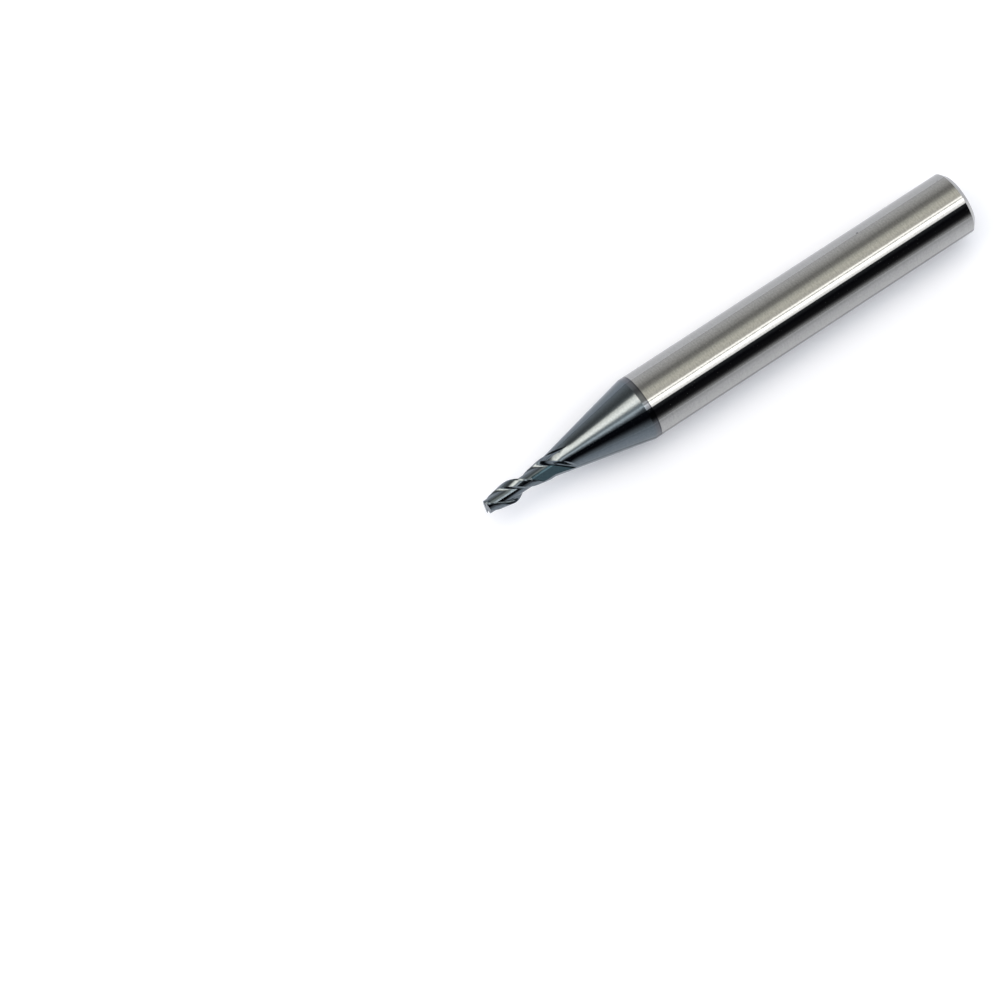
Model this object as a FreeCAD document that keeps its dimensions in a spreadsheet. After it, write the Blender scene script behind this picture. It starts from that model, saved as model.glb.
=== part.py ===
# Solid carbide end mill: 6 mm plain shank, long cone, 2 mm cutting head with two right-hand flutes.
#
# The cutter is ground from one rod of carbide, so it is one body. It stands on its shank end:
# the origin is the centre of the shank's end face and +Z runs along the axis to the cutting tip.
# The flutes, their straight run-outs, the relief lands and the end gashes are cut once each and
# repeated round the axis, as they are ground.

import FreeCAD, Part
import os
import math
import Sketcher
import PartDesign
from FreeCAD import Vector, Rotation, Placement

doc = FreeCAD.newDocument("milling_cutter")

# Driving dimensions, in millimetres and degrees

sheet = doc.addObject("Spreadsheet::Sheet", "dims")
sizes = [
    ("overall_length", 50.0, "shank end to cutting tip"),
    ("shank_diameter", 6.0, "plain round shank"),
    ("shank_chamfer", 0.4, "45 degree chamfer round the shank end"),
    ("cutting_diameter", 2.0, "circle the two cutting edges turn on"),
    ("head_length", 6.6, "tip to the start of the cone"),
    ("cone_half_angle", 12.4, "slope of the cone against the axis"),
    ("corner_chamfer", 0.05, "45 degree chamfer on the cutting corners"),
    ("helix_angle", 40.0, "right-hand helix, at the cutting diameter"),
    ("flute_reach", 4.53, "tip to the cutting edge where the flute leaves the helix"),
    ("flute_span", 2.5, "along the axis, cutting edge to the foot of the heel wall"),
    ("core_diameter", 1.24, "solid core that is left between the flutes"),
    ("rake_angle", 8.0, "hook of the cutting face"),
    ("rake_fillet", 0.16, "radius at the foot of the cutting face"),
    ("heel_slope", 50.0, "slope of the heel wall against the core"),
    ("heel_fillet", 0.5, "radius at the foot of the heel wall"),
    ("runout_rise", 2.0, "climb of the flute's floor as it leaves the head"),
    ("margin_width", 0.03, "along the axis, round margin on the cutting edge"),
    ("primary_width", 0.22, "along the axis, narrow land behind the margin"),
    ("primary_drop", 0.03, "fall of the narrow land over its width"),
    ("secondary_drop", 0.16, "fall of the second land over its width"),
    ("land_runout_angle", 30.0, "lands against the axis where they run out on the cone"),
    ("land_runout_dip", 4.5, "dip of the lands below the tangent as they run out"),
    ("land_runout", 3.0, "length of the lands' run-out"),
    ("dish_angle", 2.0, "hollow of the end teeth towards the centre"),
    ("end_relief", 9.0, "fall of the end behind each end tooth"),
    ("gash_depth", 0.14, "depth of the end gash at the centre"),
    ("gash_angle", 35.0, "slope of the gash as it opens to the flute"),
    ("gash_opening", 50.0, "opening of the gash ahead of the end tooth"),
    ("gash_cross", 0.1, "length of the gash past the centre"),
    ("tooth_offset", 0.03, "end tooth behind the line through the centre"),
]
for row, (alias, value, note) in enumerate(sizes, start=1):
    sheet.set("A%d" % row, alias.replace("_", " "))
    sheet.set("B%d" % row, "%g" % value)
    sheet.setAlias("B%d" % row, alias)
    sheet.set("C%d" % row, note)
doc.recompute()

body = doc.addObject("PartDesign::Body", "milling_cutter")
body.Label = "milling_cutter"

# Lengths that follow from the sheet, written once

LEAD = "(pi * dims.cutting_diameter / tan(dims.helix_angle))"
EDGE = "(dims.cutting_diameter / 2)"
CORE = "(dims.core_diameter / 2)"
FLUTE_Z = "(dims.overall_length - dims.flute_reach)"
OUT = "(0.3 * dims.shank_diameter)"
TIP = "dims.overall_length"


def number(text):
    value = sheet.evalExpression(text)
    return float(getattr(value, "Value", value))


def origin_feature(role):
    return [f for f in body.Origin.OriginFeatures if f.Role == role][0]


def new_sketch(name, role):
    sketch = body.newObject("Sketcher::SketchObject", name)
    sketch.AttachmentSupport = [(origin_feature(role), "")]
    sketch.MapMode = "FlatFace"
    return sketch


def outline(sketch, points, fillets=None):
    """Closed outline through points given as pairs of expressions. fillets maps a corner's
    number to the expression of its radius."""
    fillets = fillets or {}
    at = [Vector(number(x), number(y), 0) for x, y in points]
    count = len(at)
    start = list(at)
    end = list(at)
    arcs = {}
    for i, radius in fillets.items():
        a = (at[i - 1] - at[i]).normalize()
        b = (at[(i + 1) % count] - at[i]).normalize()
        half = a.getAngle(b) / 2
        reach = number(radius) / math.tan(half)
        middle = at[i] + (a + b).normalize() * (number(radius) / math.sin(half))
        end[i] = at[i] + a * reach
        start[i] = at[i] + b * reach
        arcs[i] = middle
    for i in range(count):
        sketch.addGeometry(Part.LineSegment(start[i], end[(i + 1) % count]), False)
    for i in range(count):
        before = (i - 1) % count
        if i not in fillets:
            sketch.addConstraint(Sketcher.Constraint("Coincident", before, 2, i, 1))
            place_point(sketch, i, 1, points[i])
            continue
        middle = arcs[i]
        first = end[i] - middle
        last = start[i] - middle
        turn = first.x * last.y - first.y * last.x
        circle = Part.Circle(middle, Vector(0, 0, 1), number(fillets[i]))
        angle1 = math.atan2(first.y, first.x)
        angle2 = math.atan2(last.y, last.x)
        if turn > 0:
            arc = sketch.addGeometry(Part.ArcOfCircle(circle, angle1, angle2), False)
            sketch.addConstraint(Sketcher.Constraint("Tangent", before, 2, arc, 1))
            sketch.addConstraint(Sketcher.Constraint("Tangent", arc, 2, i, 1))
        else:
            arc = sketch.addGeometry(Part.ArcOfCircle(circle, angle2, angle1), False)
            sketch.addConstraint(Sketcher.Constraint("Tangent", before, 2, arc, 2))
            sketch.addConstraint(Sketcher.Constraint("Tangent", arc, 1, i, 1))
        index = sketch.addConstraint(Sketcher.Constraint("Radius", arc, circle.Radius))
        sketch.setExpression("Constraints[%d]" % index, fillets[i])
        corner = sketch.addGeometry(Part.Point(at[i]), True)
        sketch.addConstraint(Sketcher.Constraint("PointOnObject", corner, 1, before))
        sketch.addConstraint(Sketcher.Constraint("PointOnObject", corner, 1, i))
        place_point(sketch, corner, 1, points[i])
    return sketch


def place_point(sketch, geometry, position, point):
    for kind, text in zip(("DistanceX", "DistanceY"), point):
        constraint = Sketcher.Constraint(kind, -1, 1, geometry, position, number(text))
        index = sketch.addConstraint(constraint)
        sketch.setExpression("Constraints[%d]" % index, text)


# Blank: shank, cone and head turned as one profile about the axis

R_SHANK = "(dims.shank_diameter / 2)"
CONE = "((%s - %s) / tan(dims.cone_half_angle))" % (R_SHANK, EDGE)
CONE_TOP = "(dims.overall_length - dims.head_length)"
blank_outline = outline(
    new_sketch("blank_outline", "XZ_Plane"),
    [
        ("0", "0"),
        (R_SHANK + " - dims.shank_chamfer", "0"),
        (R_SHANK, "dims.shank_chamfer"),
        (R_SHANK, CONE_TOP + " - " + CONE),
        (EDGE, CONE_TOP),
        (EDGE, TIP + " - dims.corner_chamfer"),
        (EDGE + " - dims.corner_chamfer", TIP),
        ("0", TIP + " - (%s - dims.corner_chamfer) * tan(dims.dish_angle)" % EDGE),
    ],
)
blank = body.newObject("PartDesign::Revolution", "blank")
blank.Profile = blank_outline
blank.ReferenceAxis = (blank_outline, ["V_Axis"])
blank.Angle = 360
doc.recompute()


def helical_cut(name, section, height):
    cut = body.newObject("PartDesign::SubtractiveHelix", name)
    cut.Profile = section
    cut.ReferenceAxis = (section, ["V_Axis"])
    cut.Mode = "pitch-height-angle"
    cut.setExpression("Pitch", LEAD)
    cut.setExpression("Height", height)
    cut.Angle = 0
    cut.LeftHanded = False
    cut.Reversed = False
    cut.Refine = False
    doc.recompute()
    return cut


def straight_cut(name, section, length, direction=None):
    """Cut that pushes the section on in a straight line. direction holds an expression for
    each of x, y and z."""
    cut = body.newObject("PartDesign::Pocket", name)
    cut.Profile = section
    cut.Type = "Length"
    cut.setExpression("Length", length)
    if direction:
        cut.AlongSketchNormal = False
        cut.UseCustomVector = True
        cut.Direction = Vector(*[number(text) for text in direction])
        for axis, text in zip("xyz", direction):
            cut.setExpression("Direction." + axis, text)
    cut.Refine = False
    doc.recompute()
    return cut


# End teeth: the end falls away behind each tooth, and a gash ahead of it opens to the flute.

TOOTH = "(360 * dims.flute_reach / %s - 180)" % LEAD
UP = "(%s + 0.6 * dims.cutting_diameter)" % TIP


def end_sketch(name):
    """Sketch across the end tooth: x runs ahead of the tooth, y up the axis."""
    sketch = new_sketch(name, "YZ_Plane")
    sketch.AttachmentOffset = Placement(Vector(0, 0, 0), Rotation(Vector(0, 1, 0), number(TOOTH)))
    sketch.setExpression("AttachmentOffset.Rotation.Angle", TOOTH)
    return sketch


relief_outline = outline(
    end_sketch("relief_outline"),
    [
        (EDGE, "%s + (%s + dims.tooth_offset) * tan(dims.end_relief)" % (TIP, EDGE)),
        ("-1.5 * " + EDGE, "%s - (1.5 * %s - dims.tooth_offset) * tan(dims.end_relief)" % (TIP, EDGE)),
        ("-1.5 * " + EDGE, UP),
        (EDGE, UP),
    ],
)
end_relief = straight_cut("end_relief", relief_outline, "3 * dims.cutting_diameter")
end_relief.SideType = "Symmetric"
gash_outline = outline(
    end_sketch("gash_outline"),
    [
        ("-dims.tooth_offset", "%s - dims.gash_depth" % TIP),
        ("(%s - %s + dims.gash_depth) * tan(dims.gash_opening)" % (UP, TIP), UP),
        ("-dims.tooth_offset", UP),
    ],
)
gash = straight_cut(
    "gash",
    gash_outline,
    "1.5 * dims.cutting_diameter",
    (
        "cos(%s) * cos(dims.gash_angle)" % TOOTH,
        "sin(%s) * cos(dims.gash_angle)" % TOOTH,
        "-sin(dims.gash_angle)",
    ),
)
gash.SideType = "Two sides"
gash.setExpression("Length2", "dims.gash_cross")

# Flute alone: where it nears the cone the section turns on from a quarter turn further up, and
# from there it is pushed straight on along the helix's tangent. The straight part is the flat
# floor that runs out on the cone.

HOOK = "((%s - %s) * tan(dims.rake_angle) / tan(dims.helix_angle))" % (EDGE, CORE)
HOOK_OUT = "((%s - %s) * tan(dims.rake_angle) / tan(dims.helix_angle))" % (OUT, EDGE)
HEEL_OUT = "((%s - %s) / tan(dims.heel_slope))" % (OUT, CORE)
flute_section = outline(
    new_sketch("flute_section", "XZ_Plane"),
    [
        (OUT, "%s - %s" % (FLUTE_Z, HOOK_OUT)),
        (CORE, "%s + %s" % (FLUTE_Z, HOOK)),
        (CORE, FLUTE_Z + " - dims.flute_span"),
        (OUT, "%s - dims.flute_span - %s" % (FLUTE_Z, HEEL_OUT)),
    ],
    {1: "dims.rake_fillet", 2: "dims.heel_fillet"},
)
flute = helical_cut("flute", flute_section, LEAD + " / 4")
flute_runout = straight_cut(
    "flute_runout",
    flute_section,
    "dims.head_length",
    (
        "sin(dims.runout_rise)",
        "-sin(dims.helix_angle) * cos(dims.runout_rise)",
        "-cos(dims.helix_angle) * cos(dims.runout_rise)",
    ),
)

# Tooth gap: from that quarter turn up to the tip the section also takes the two lands that fall
# away behind the next cutting edge. A narrow round margin stays on each edge. The lands leave the
# helix at that quarter turn too, and run out straight on the cone.

GAP_Z = "(%s + %s / 4)" % (FLUTE_Z, LEAD)
LAND_Z = "(%s - %s / 4)" % (FLUTE_Z, LEAD)
P_TOP = "%s + dims.margin_width" % LAND_Z
P_END = P_TOP + " + dims.primary_width"
S_R = "%s - dims.primary_drop - dims.secondary_drop" % EDGE
HEEL_Z = "%s - dims.flute_span - (%s - %s) / tan(dims.heel_slope)" % (GAP_Z, S_R, CORE)
SLOPE = "(dims.primary_width / dims.primary_drop)"
SKIM = "(0.01 * dims.cutting_diameter)"


def gap_section(turn):
    """Section of the tooth gap, a number of quarter turns up the helix."""
    sketch = new_sketch("gap_section_%d" % turn, "YZ_Plane")
    sketch.AttachmentOffset = Placement(Vector(0, 0, 0), Rotation(Vector(0, 1, 0), 90 * turn))
    sketch.setExpression("AttachmentOffset.Base.y", "%d * %s / 4" % (turn, LEAD))
    return outline(
        sketch,
        [
            (OUT, "%s - %s" % (GAP_Z, HOOK_OUT)),
            (CORE, "%s + %s" % (GAP_Z, HOOK)),
            (CORE, GAP_Z + " - dims.flute_span"),
            (S_R, HEEL_Z),
            (EDGE + " - dims.primary_drop", P_END),
            ("%s + %s" % (EDGE, SKIM), "%s - %s * %s" % (P_TOP, SKIM, SLOPE)),
            (OUT, "%s - %s * %s" % (P_TOP, SKIM, SLOPE)),
        ],
        {1: "dims.rake_fillet", 2: "dims.heel_fillet"},
    )


land_section = outline(
    new_sketch("land_section", "YZ_Plane"),
    [
        (OUT, "%s - %s * %s" % (P_TOP, SKIM, SLOPE)),
        ("%s + %s" % (EDGE, SKIM), "%s - %s * %s" % (P_TOP, SKIM, SLOPE)),
        (EDGE + " - dims.primary_drop", P_END),
        (S_R, HEEL_Z),
        (OUT, HEEL_Z),
    ],
)
land_runout = straight_cut(
    "land_runout",
    land_section,
    "dims.land_runout",
    (
        "sin(dims.land_runout_angle) * cos(dims.land_runout_dip)",
        "-sin(dims.land_runout_dip)",
        "-cos(dims.land_runout_angle) * cos(dims.land_runout_dip)",
    ),
)

quarters = math.ceil((number(TIP) - number(P_TOP)) / number(LEAD + " / 4") + 0.1)
gaps = []
for turn in range(quarters):
    gaps.append(helical_cut("gap_%d" % turn, gap_section(turn), LEAD + " / 4"))

# The same cuts on the other side. The cuts leave their faces as they are, and this step merges
# the ones that belong together.

turned = body.newObject("PartDesign::PolarPattern", "turned")
turned.Originals = [end_relief, gash, flute, flute_runout, land_runout] + gaps
turned.Axis = (origin_feature("Z_Axis"), [""])
turned.Angle = 360
turned.Occurrences = 2
body.Tip = turned
doc.recompute()

# The model is looked over before it is written

last = None
for obj in body.Group:
    if hasattr(obj, "AddSubShape"):
        volume = obj.Shape.Volume
        print("%-14s %10.4f mm3 %s" % (obj.Name, volume, "" if last is None else "%+.4f" % (volume - last)))
        last = volume
bad = [o.Name for o in doc.Objects if "Invalid" in o.State or "Error" in o.State]
if bad:
    raise RuntimeError("failed objects: " + ", ".join(bad))
shape = body.Shape
if shape.isNull() or not shape.isValid() or len(shape.Solids) != 1:
    raise RuntimeError("the cutter isn't one valid solid")
box = shape.optimalBoundingBox() if hasattr(shape, "optimalBoundingBox") else shape.BoundBox
print("size %.3f x %.3f x %.3f mm, %d faces" % (box.XLength, box.YLength, box.ZLength, len(shape.Faces)))
os.makedirs("parts", exist_ok=True)
shape.exportStep("parts/milling_cutter.step")
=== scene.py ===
# %% [markdown]
# # A small carbide end mill, dressed for a close-up
# The cutter comes from the CAD model as one solid of true size. It stands on its shank end, its
# axis is +Z, and every length is in metres. This lesson gives it its finishes, bare ground carbide
# and a hard dark coating, and then lights and frames it as a small bright thing that lies on a
# white table.

import math

import bpy
from mathutils import Matrix, Vector


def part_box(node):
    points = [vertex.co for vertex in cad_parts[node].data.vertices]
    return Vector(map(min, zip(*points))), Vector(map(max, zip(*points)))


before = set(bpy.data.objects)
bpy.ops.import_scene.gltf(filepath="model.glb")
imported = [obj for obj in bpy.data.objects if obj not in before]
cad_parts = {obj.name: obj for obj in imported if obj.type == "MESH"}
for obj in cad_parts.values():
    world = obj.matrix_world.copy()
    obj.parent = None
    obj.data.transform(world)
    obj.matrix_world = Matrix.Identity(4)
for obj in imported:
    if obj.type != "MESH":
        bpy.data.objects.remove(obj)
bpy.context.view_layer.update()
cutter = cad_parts["milling_cutter"]
low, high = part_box("milling_cutter")
print("cutter from", tuple(round(v, 5) for v in low), "to", tuple(round(v, 5) for v in high))
print("triangles", len(cutter.data.polygons))

# %% [markdown]
# ## Measures that the finishes need
# The head is a two-flute cutter of 2 mm, and a cone widens it to the 6 mm shank. The coating was
# put on in a holder that hid the shank, so it ends at a sharp ring just behind the foot of the
# cone. The heights are counted from the shank end, and most are known from the tip.

# %% Measures
TIP = high.z
HEAD_RADIUS = 0.001
SHANK_RADIUS = 0.003
CONE_TOP = TIP - 0.0066
CONE_HALF_ANGLE = math.radians(12.4)
COATING_EDGE = TIP - 0.01625
print("cone starts at", round(CONE_TOP * 1000, 2), "mm, the coating at", round(COATING_EDGE * 1000, 2), "mm")

# %% [markdown]
# ## Writing a material as sums
# A node tree is a calculation, so it reads best as one. Two small helpers come first. A colour ramp
# is written as its stops, from low to high, and a stop is a place from 0 to 1 and a colour. A new
# material or world starts with nodes of its own, which are cleared.

# %% Ramps and empty trees
def fill_ramp(ramp, stops):
    while len(ramp.elements) > 1:
        ramp.elements.remove(ramp.elements[-1])
    for i, (place, colour) in enumerate(stops):
        element = ramp.elements[0] if i == 0 else ramp.elements.new(place)
        element.position = place
        element.color = (*colour, 1)


def empty_tree(owner):
    owner.use_nodes = True
    owner.node_tree.nodes.clear()
    return Wire(owner.node_tree)


print("ramps take stops, and new trees start empty")

# %% [markdown]
# ### A socket that can be calculated with
# The class below holds one output socket, and adding, multiplying or comparing two of them adds the
# Math node that does it. Every other node comes from the one method `node`, which takes its type,
# its settings and its inputs.

# %% A socket that can be calculated with
class Wire:
    def __init__(self, tree, socket=None):
        self.tree = tree
        self.socket = socket

    def node(self, kind, settings=None, inputs=None, out=0):
        made = self.tree.nodes.new(kind)
        for name, value in (settings or {}).items():
            if name == "stops":
                fill_ramp(made.color_ramp, value)
            else:
                setattr(made, name, value)
        for name, value in (inputs or {}).items():
            self.plug(made.inputs[name], value)
        return Wire(self.tree, made.outputs[out] if made.outputs else None)

    def plug(self, socket, value):
        if isinstance(value, Wire):
            self.tree.links.new(value.socket, socket)
        elif isinstance(value, (tuple, list)) and socket.type == "RGBA":
            socket.default_value = (*value, 1)
        else:
            socket.default_value = value

    def output(self, name):
        """Another output of the same node."""
        return Wire(self.tree, self.socket.node.outputs[name])

    def math(self, operation, *others):
        return self.node("ShaderNodeMath", {"operation": operation}, dict(enumerate((self, *others))))

    def __add__(self, other):
        return self.math("ADD", other)

    def __sub__(self, other):
        return self.math("SUBTRACT", other)

    def __rsub__(self, other):
        return self.node("ShaderNodeMath", {"operation": "SUBTRACT"}, {0: other, 1: self})

    def __mul__(self, other):
        return self.math("MULTIPLY", other)

    def __truediv__(self, other):
        return self.math("DIVIDE", other)

    def __gt__(self, other):
        return self.math("GREATER_THAN", other)

    def __lt__(self, other):
        return self.math("LESS_THAN", other)

    def __abs__(self):
        return self.math("ABSOLUTE")

    __radd__ = __add__
    __rmul__ = __mul__

    def smooth(self, start, end):
        """0 before start, 1 after end, and a soft step between."""
        limits = {"Value": self, "From Min": start, "From Max": end}
        return self.node("ShaderNodeMapRange", {"interpolation_type": "SMOOTHSTEP"}, limits)

    def blend(self, first, second):
        """first where this is 0 and second where it is 1, for colours."""
        sides = {"Factor": self, 6: first, 7: second}
        return self.node("ShaderNodeMix", {"data_type": "RGBA"}, sides, out=2)


print("sockets add, subtract, multiply, divide and compare")

# %% [markdown]
# ## The finish of the cutter
# The shank is bare carbide, ground between two wheels while it turns. That leaves fine lines that
# run round it and a soft broken gloss. The cone and the head carry a thin hard coating that looks
# slate blue. All of it is one surface, so one material holds the finishes, and masks choose between
# them by place. The places are Object coordinates, which here are metres in the cutter's own frame.

# %% Places on the cutter
finish = bpy.data.materials.new("carbide_and_coating")
start = empty_tree(finish)
place = start.node("ShaderNodeTexCoord").output("Object")
x = start.node("ShaderNodeSeparateXYZ", inputs={0: place})
y = x.output("Y")
z = x.output("Z")
radius = (x * x + y * y).math("SQRT")
angle = y.math("ARCTAN2", x)
print("x, y, z, radius and angle read from Object coordinates")

# %% [markdown]
# ### Where the coating ends
# The edge of the coating is a ring at one height. A ramp of a few hundredths of a millimetre
# keeps it crisp, and a little noise keeps it from looking drawn. Just inside it the coating is
# thinner, which turns it from slate to a brownish violet, and its very edge is a fine dark line.

# %% Masks of the coating
EDGE_WAVER = 0.00003
EDGE_RAMP = 0.00002
THIN_UNTIL = 0.0002
THICK_FROM = 0.0008
RIM_MIDDLE = 0.00005
grain = start.node("ShaderNodeTexNoise", inputs={"Vector": place, "Scale": 6000.0, "Detail": 4.0})
coated = (z + (grain - 0.5) * EDGE_WAVER).smooth(COATING_EDGE - EDGE_RAMP, COATING_EDGE + EDGE_RAMP)
thin = 1 - (z - COATING_EDGE).smooth(THIN_UNTIL, THICK_FROM)
rim = 1 - abs(z - COATING_EDGE - RIM_MIDDLE).smooth(0.8 * RIM_MIDDLE, 2 * RIM_MIDDLE)
print("coating begins at", round(COATING_EDGE * 1000, 2), "mm")

# %% [markdown]
# ### Grinding lines
# Noise that is stretched round the tool gives lines that run round it. It reads the height with
# much detail and the angle with little. A second, rounder noise breaks the gloss into a fine
# mottle. A Bump node turns both into the smallest of ridges.

# %% Grinding lines and mottle
INWARD = 300
LINES_SHARE = 0.45
RIDGE_HEIGHT = 0.000006


def noise_round_tool(around, lengthwise, detail, roughness):
    """Noise with so many waves to a radian round the tool and to a metre of its length."""
    waves = {0: angle * around, 1: z * lengthwise, 2: radius * INWARD}
    stretched = start.node("ShaderNodeCombineXYZ", inputs=waves)
    fineness = {"Vector": stretched, "Scale": 1.0, "Detail": detail, "Roughness": roughness}
    return start.node("ShaderNodeTexNoise", inputs=fineness)


lines = noise_round_tool(around=0.6, lengthwise=9000, detail=5.0, roughness=0.7)
mottle = noise_round_tool(around=14, lengthwise=6500, detail=3.0, roughness=0.5)
relief = lines * LINES_SHARE + mottle * (1 - LINES_SHARE)
ridges = {"Strength": 0.5, "Distance": RIDGE_HEIGHT, "Height": relief}
bump = start.node("ShaderNodeBump", inputs=ridges)
print("grinding lines and mottle made")

# %% [markdown]
# ### The floors where the flutes run out
# Each flute ends in a flat floor that was ground straight across. The floor lies sunk in the flute,
# and its coating is painted much darker there as painted shade, for the dark reflection it shows. The two
# floors are one plane and its opposite, so one distance from the axis finds both.
# The cone crosses that plane too, so the floor also has to lie below the turned surface.

# %% Run-out floors
FLOOR_TURN = math.radians(3.4)
FLOOR_DEPTH = 0.00062
FLOOR_TOP = TIP - 0.0046
FLOOR_FOOT = TIP - 0.0088
FLOOR_SLACK = 0.00002
LEAST_SUNK = 0.000015
from_axis = abs(x * math.cos(FLOOR_TURN) + y * math.sin(FLOOR_TURN))
on_plane = 1 - abs(from_axis - FLOOR_DEPTH).smooth(FLOOR_SLACK, 2 * FLOOR_SLACK)
turned_radius = (CONE_TOP - z).math("MAXIMUM", 0.0) * math.tan(CONE_HALF_ANGLE) + HEAD_RADIUS
sunk = turned_radius - radius > LEAST_SUNK
# where the painted shade of the sunk run-out floors goes
shaded_floors = on_plane * sunk * (z > FLOOR_FOOT) * (z < FLOOR_TOP)
print("run-out floors lie", round(FLOOR_DEPTH * 1000, 2), "mm from the axis")

# %% [markdown]
# ### Small marks on the shank
# Two tiny dark marks lie on one side of the shank. Each is a spot with an angle, a height and a
# size, and the distance from it is measured along the surface.

# %% Marks
MARKS = [
    (math.radians(63.7), 0.00975, 0.00013),
    (math.radians(63.9), 0.00112, 0.00007),
]
clean = 1
for mark_angle, mark_height, mark_size in MARKS:
    along_ring = (angle - mark_angle) * SHANK_RADIUS
    along_axis = z - mark_height
    distance = (along_ring * along_ring + along_axis * along_axis).math("SQRT")
    clean = distance.smooth(mark_size * 0.3, mark_size) * clean
print("marks on the shank", len(MARKS))

# %% [markdown]
# ### Colours and roughness
# Both finishes are metal to the light, so one Principled node is enough. The bare shank is a pale
# neutral grey and the coating a dark slate blue, each a little uneven. Three tones then cover the
# slate in part, each by its own share: the painted shade of the run-out floors, the thin violet part
# and the fine dark edge. Both finishes are polished, and the mottle makes them a touch duller in places.

# %% Colours and roughness
GREY_DARKER, GREY_PALER = (0.375, 0.374, 0.365), (0.46, 0.458, 0.445)
SLATE_DARKER, SLATE_PALER = (0.140, 0.166, 0.186), (0.160, 0.188, 0.209)
MARK_COLOUR = (0.10, 0.095, 0.105)
# painted shade: a near-black slate for the sunk run-out floors, and how much of it covers them
FLOOR_PAINTED_SHADE, FLOOR_SHADE_COVER = (0.012, 0.033, 0.043), 0.85
THIN_COLOUR, THIN_COVER = (0.145, 0.145, 0.156), 0.8
RIM_COLOUR, RIM_COVER = (0.035, 0.035, 0.04), 0.45
POLISHED = 0.05
bare = (lines * 0.4 + mottle * 0.6).smooth(0.3, 0.7).blend(GREY_DARKER, GREY_PALER)
bare = clean.blend(MARK_COLOUR, bare)
slate = grain.smooth(0.35, 0.65).blend(SLATE_DARKER, SLATE_PALER)
# painted shade darkens the sunk run-out floors
slate = (shaded_floors * FLOOR_SHADE_COVER).blend(slate, FLOOR_PAINTED_SHADE)
slate = (thin * THIN_COVER).blend(slate, THIN_COLOUR)
slate = (rim * RIM_COVER).blend(slate, RIM_COLOUR)
colour = coated.blend(bare, slate)
roughness = POLISHED + mottle * 0.04 + coated * 0.03 + (1 - clean) * 0.3
skin = {"Base Color": colour, "Metallic": 1.0, "Roughness": roughness, "Normal": bump}
surface = start.node("ShaderNodeBsdfPrincipled", inputs=skin)
start.node("ShaderNodeOutputMaterial", inputs={"Surface": surface})
cutter.data.materials[0] = finish
print("finish on", cutter.name)

# %% [markdown]
# ## The table
# The cutter lies on its side on a white table, so the table is a plane that touches the shank
# along one line. In the cutter's own frame that plane stands upright.

# %% Table plane
TABLE_UP = math.radians(25.7)
TABLE_SIZE = 3.0
up = Vector((math.cos(TABLE_UP), math.sin(TABLE_UP), 0))
bpy.ops.object.select_all(action="DESELECT")
bpy.ops.mesh.primitive_plane_add(
    size=TABLE_SIZE, location=-up * SHANK_RADIUS, rotation=(0, math.pi / 2, TABLE_UP)
)
table = bpy.context.object
table.name = "table"
bpy.ops.object.transform_apply(location=True, rotation=True, scale=True)
print("table touches the shank", round(SHANK_RADIUS * 1000, 2), "mm from the axis")

# %% [markdown]
# ### White paper, with a painted pool of light
# The table is plain white paper, a little whiter to the camera, and it keeps the soft shadow under
# the shank. To every other ray its colour is painted: a painted pool of light that fades to the side,
# with one thin painted dark line of shade beside the shank, and the polished metal shows that. Seen
# from behind the table would hide the cutter, so its back lets the light through.

# %% White paper and its painted pool of light
PAINTED_POOL_REACH = 0.030
# painted light: the paper's tones to the side, a pool of light that fades away, with a thin painted dark
# line of shade in it
PAINTED_POOL = [
    (0.0, (0.82, 0.83, 0.865)),
    (0.07, (0.97, 0.98, 1.01)),
    (0.118, (0.96, 0.97, 1.00)),
    (0.124, (0.45, 0.455, 0.47)),
    (0.137, (0.45, 0.455, 0.47)),
    (0.143, (0.95, 0.96, 0.99)),
    (0.16, (0.94, 0.95, 0.98)),
    (0.35, (0.78, 0.79, 0.82)),
    (1.0, (0.56, 0.57, 0.59)),
]
CAMERA_WHITE = (1.04, 1.045, 1.065)
white = bpy.data.materials.new("table_white_and_painted_pool")
start = empty_tree(white)
place = start.node("ShaderNodeTexCoord").output("Object")
aside = (math.sin(TABLE_UP), -math.cos(TABLE_UP), 0)
sideways = start.node("ShaderNodeVectorMath", {"operation": "DOT_PRODUCT"}, {0: place, 1: aside})
# painted pool of light and its dark line, read by the distance to the side of the shank
painted_pool = start.node("ShaderNodeValToRGB", {"stops": PAINTED_POOL}, {0: sideways.output("Value") / PAINTED_POOL_REACH})
camera_ray = start.node("ShaderNodeLightPath").output("Is Camera Ray")
# the camera sees plain white, every other ray the painted pool of light
paper_white_and_painted_pool = camera_ray.blend(painted_pool, CAMERA_WHITE)
paper = start.node("ShaderNodeBsdfDiffuse", inputs={"Color": paper_white_and_painted_pool})
clear = start.node("ShaderNodeBsdfTransparent")
back = start.node("ShaderNodeNewGeometry").output("Backfacing")
both = start.node("ShaderNodeMixShader", inputs={0: back, 1: paper, 2: clear})
start.node("ShaderNodeOutputMaterial", inputs={"Surface": both})
table.data.materials.append(white)
print("paper has", len(PAINTED_POOL), "tones to the side")

# %% [markdown]
# ## The room
# Polished round metal shows the room as long bands, so the room is what makes it look like metal.
# It is painted by direction round the cutter's axis, in two lists. Each row is a direction in
# degrees, and the red, green and blue light that comes from there. The shank shows the part of the
# room that lies low, towards the shank end. There the light goes from a black opening to a lamp box
# with a thin gap in it, a warm pale wall, a dark corner and a cool wall.

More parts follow.
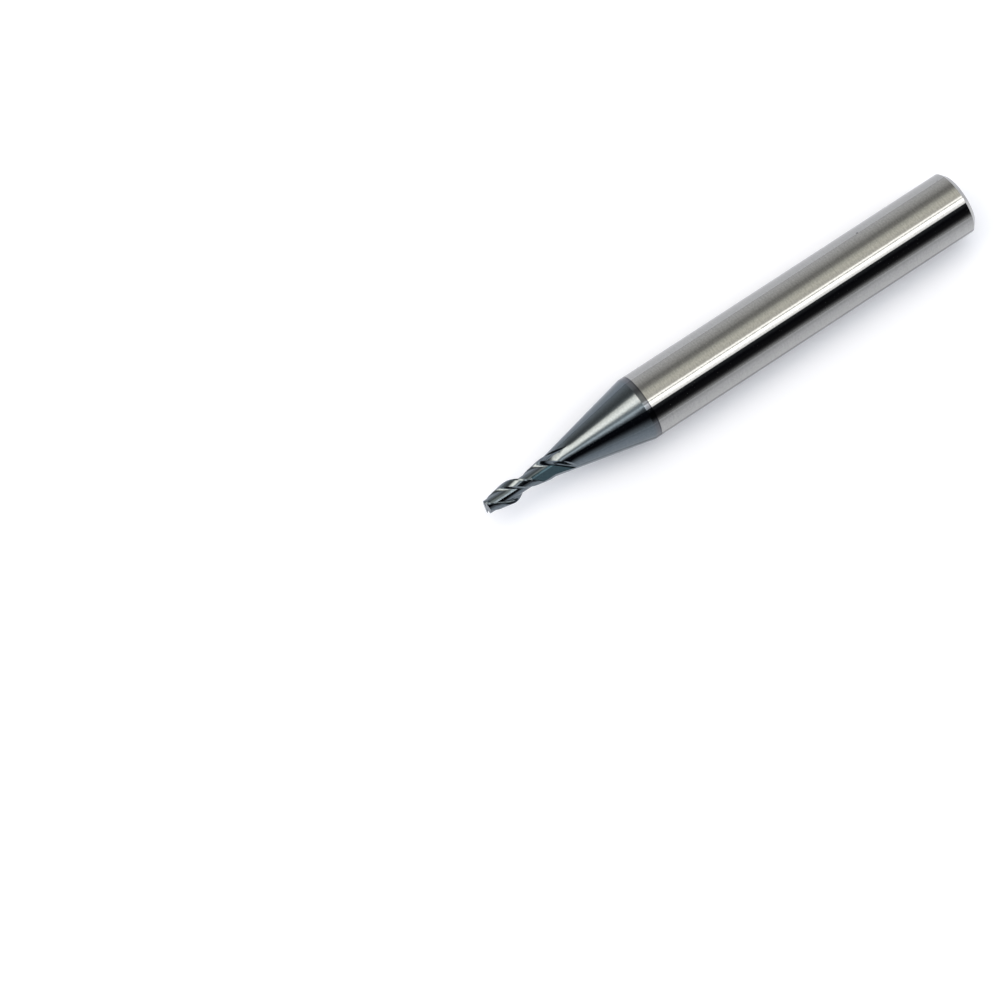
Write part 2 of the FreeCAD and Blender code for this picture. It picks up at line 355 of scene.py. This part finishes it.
# %% The low part of the room
LOW_ROOM = [
    # pale corner that darkens into a black opening
    (-66, 0.58, 0.585, 0.60),
    (-61.5, 0.43, 0.435, 0.45),
    (-57.5, 0.26, 0.263, 0.27),
    (-53.5, 0.12, 0.121, 0.125),
    (-50, 0.05, 0.05, 0.053),
    (-45, 0.012, 0.012, 0.013),
    (-24, 0.004, 0.004, 0.006),
    # edge of the lamp box
    (-14, 0.06, 0.065, 0.072),
    (-8.5, 0.14, 0.145, 0.155),
    (-6, 0.38, 0.39, 0.40),
    (-4, 1.35, 1.35, 1.35),
    (0, 1.85, 1.85, 1.85),
    # lamp box, with the thin gap in it
    (3.5, 3.6, 3.6, 3.5),
    (6.5, 4.0, 4.0, 3.9),
    (8.3, 2.2, 2.2, 2.1),
    (9.5, 0.95, 0.95, 0.92),
    (11.3, 0.95, 0.95, 0.92),
    (13, 2.6, 2.6, 2.5),
    (16.5, 2.6, 2.55, 2.45),
    # warm pale wall that darkens to a corner
    (19, 0.95, 0.93, 0.85),
    (24, 0.90, 0.88, 0.80),
    (36, 0.96, 0.94, 0.83),
    (42, 0.86, 0.85, 0.76),
    (50, 0.66, 0.655, 0.595),
    (56, 0.42, 0.415, 0.385),
    (60, 0.35, 0.345, 0.325),
    (68, 0.31, 0.308, 0.295),
    # cool wall beyond the corner
    (80, 0.51, 0.505, 0.495),
    (94, 0.67, 0.67, 0.67),
    (106, 0.73, 0.735, 0.75),
    (150, 0.74, 0.75, 0.78),
]
print("low part painted with", len(LOW_ROOM), "stops")

# %% [markdown]
# ### The part that lies high
# The cone leans, so it shows the part of the room that lies high, past the tip. The opening and the
# lamp box reach up there, and a second, warmer lamp hangs beside them.

# %% The high part of the room
HIGH_ROOM = [
    # the same pale corner and black opening, seen higher up
    (-68, 0.66, 0.67, 0.69),
    (-57, 0.40, 0.405, 0.42),
    (-48, 0.19, 0.19, 0.20),
    (-41, 0.05, 0.05, 0.055),
    (-34, 0.006, 0.006, 0.009),
    (-20, 0.012, 0.013, 0.018),
    (-10, 0.05, 0.054, 0.06),
    # thin edge of the lamp box
    (-2, 0.12, 0.125, 0.13),
    (1.5, 0.26, 0.27, 0.28),
    (4, 1.0, 1.0, 1.0),
    (6, 1.85, 1.87, 1.85),
    (8.5, 1.9, 1.92, 1.9),
    (12, 0.92, 0.94, 0.92),
    (19, 0.85, 0.87, 0.86),
    # second, warmer lamp
    (24, 2.0, 1.8, 1.6),
    (30, 4.3, 3.9, 3.4),
    (37, 5.0, 4.4, 3.8),
    (48, 3.8, 3.4, 2.9),
    (54, 2.8, 2.5, 2.15),
    # dark corner, then the cool wall
    (59, 0.80, 0.75, 0.67),
    (65, 0.32, 0.32, 0.305),
    (74, 0.22, 0.22, 0.21),
    (90, 0.36, 0.357, 0.35),
    (108, 0.58, 0.585, 0.595),
    (150, 0.82, 0.83, 0.86),
]
print("high part painted with", len(HIGH_ROOM), "stops")

# %% [markdown]
# ### The world that holds the room
# Both parts become colour ramps, read by direction round the axis and blended by height. A ramp
# can't hold light above 1, so its colours are divided by the brightest level and the Background
# node gives it back. The paper is lit mostly by an even sky, and the camera itself sees plain
# white.

# %% World painted by direction
BRIGHTEST = 5.0


def round_the_axis(levels):
    """Stops of a ramp from directions in degrees and light levels."""
    return [(turn / 360 + 0.5, tuple(level / BRIGHTEST for level in light)) for turn, *light in levels]


ROOM_BLEND = (-0.12, 0.14)
SKY_COLOUR = (0.96, 0.985, 1.04)
SKY_STRENGTH = 1.18
SKY_SHARE = 0.7
world = bpy.data.worlds.new("room")
bpy.context.scene.world = world
world.cycles.sampling_method = "NONE"
start = empty_tree(world)
direction = start.node("ShaderNodeTexCoord").output("Generated")
east = start.node("ShaderNodeSeparateXYZ", inputs={0: direction})
north = east.output("Y")
rise = east.output("Z")
turn = north.math("ARCTAN2", east) / (2 * math.pi) + 0.5
low_room = start.node("ShaderNodeValToRGB", {"stops": round_the_axis(LOW_ROOM)}, {0: turn})
high_room = start.node("ShaderNodeValToRGB", {"stops": round_the_axis(HIGH_ROOM)}, {0: turn})
room = rise.smooth(*ROOM_BLEND).blend(low_room, high_room)
painted = start.node("ShaderNodeBackground", inputs={"Color": room, "Strength": BRIGHTEST})
sky = start.node("ShaderNodeBackground", inputs={"Color": SKY_COLOUR, "Strength": SKY_STRENGTH})
plain = start.node("ShaderNodeBackground", inputs={"Color": (1, 1, 1), "Strength": 1.0})
camera_ray = start.node("ShaderNodeLightPath").output("Is Camera Ray")
paper_ray = camera_ray.output("Is Diffuse Ray") * SKY_SHARE
lit = start.node("ShaderNodeMixShader", inputs={0: paper_ray, 1: painted, 2: sky})
seen = start.node("ShaderNodeMixShader", inputs={0: camera_ray, 1: lit, 2: plain})
start.node("ShaderNodeOutputWorld", inputs={"Surface": seen})
print("world", world.name, "in place")

# %% [markdown]
# ## The camera
# The camera looks down on the lying cutter from a third of a metre, a little from its tip, and is
# rolled so that the shank runs up to the right. Its place is worked out from its two directions,
# its distance, and how far the middle of the frame lies from the tip.

# %% Camera
CAMERA_TURN = math.radians(10)
CAMERA_RISE = math.radians(10.55)
CAMERA_REACH = 0.330
CAMERA_ANGLE = math.radians(14.706)
LEAN = math.radians(33.07)
RIGHT_OF_TIP = 0.001187
ABOVE_TIP = 0.000666

level = math.cos(CAMERA_RISE)
toward = Vector((level * math.cos(CAMERA_TURN), level * math.sin(CAMERA_TURN), math.sin(CAMERA_RISE)))
down = Vector((0, 0, -1))
along = (down - toward * toward.dot(down)).normalized()
across = toward.cross(along)
right = math.cos(LEAN) * along - math.sin(LEAN) * across
upward = math.sin(LEAN) * along + math.cos(LEAN) * across
aim = Vector((0, 0, TIP)) + right * RIGHT_OF_TIP + upward * ABOVE_TIP
camera_place = aim + toward * CAMERA_REACH

camera_data = bpy.data.cameras.new("camera")
camera_data.sensor_fit = "HORIZONTAL"
camera_data.angle = CAMERA_ANGLE
camera_data.clip_start = 0.01
camera = bpy.data.objects.new("camera", camera_data)
bpy.context.scene.collection.objects.link(camera)
turned = Matrix((right, upward, toward)).transposed().to_4x4()
camera.matrix_world = Matrix.Translation(camera_place) @ turned
bpy.context.scene.camera = camera
bpy.context.scene.view_settings.view_transform = "Standard"
print("camera at", tuple(round(v, 4) for v in camera_place))
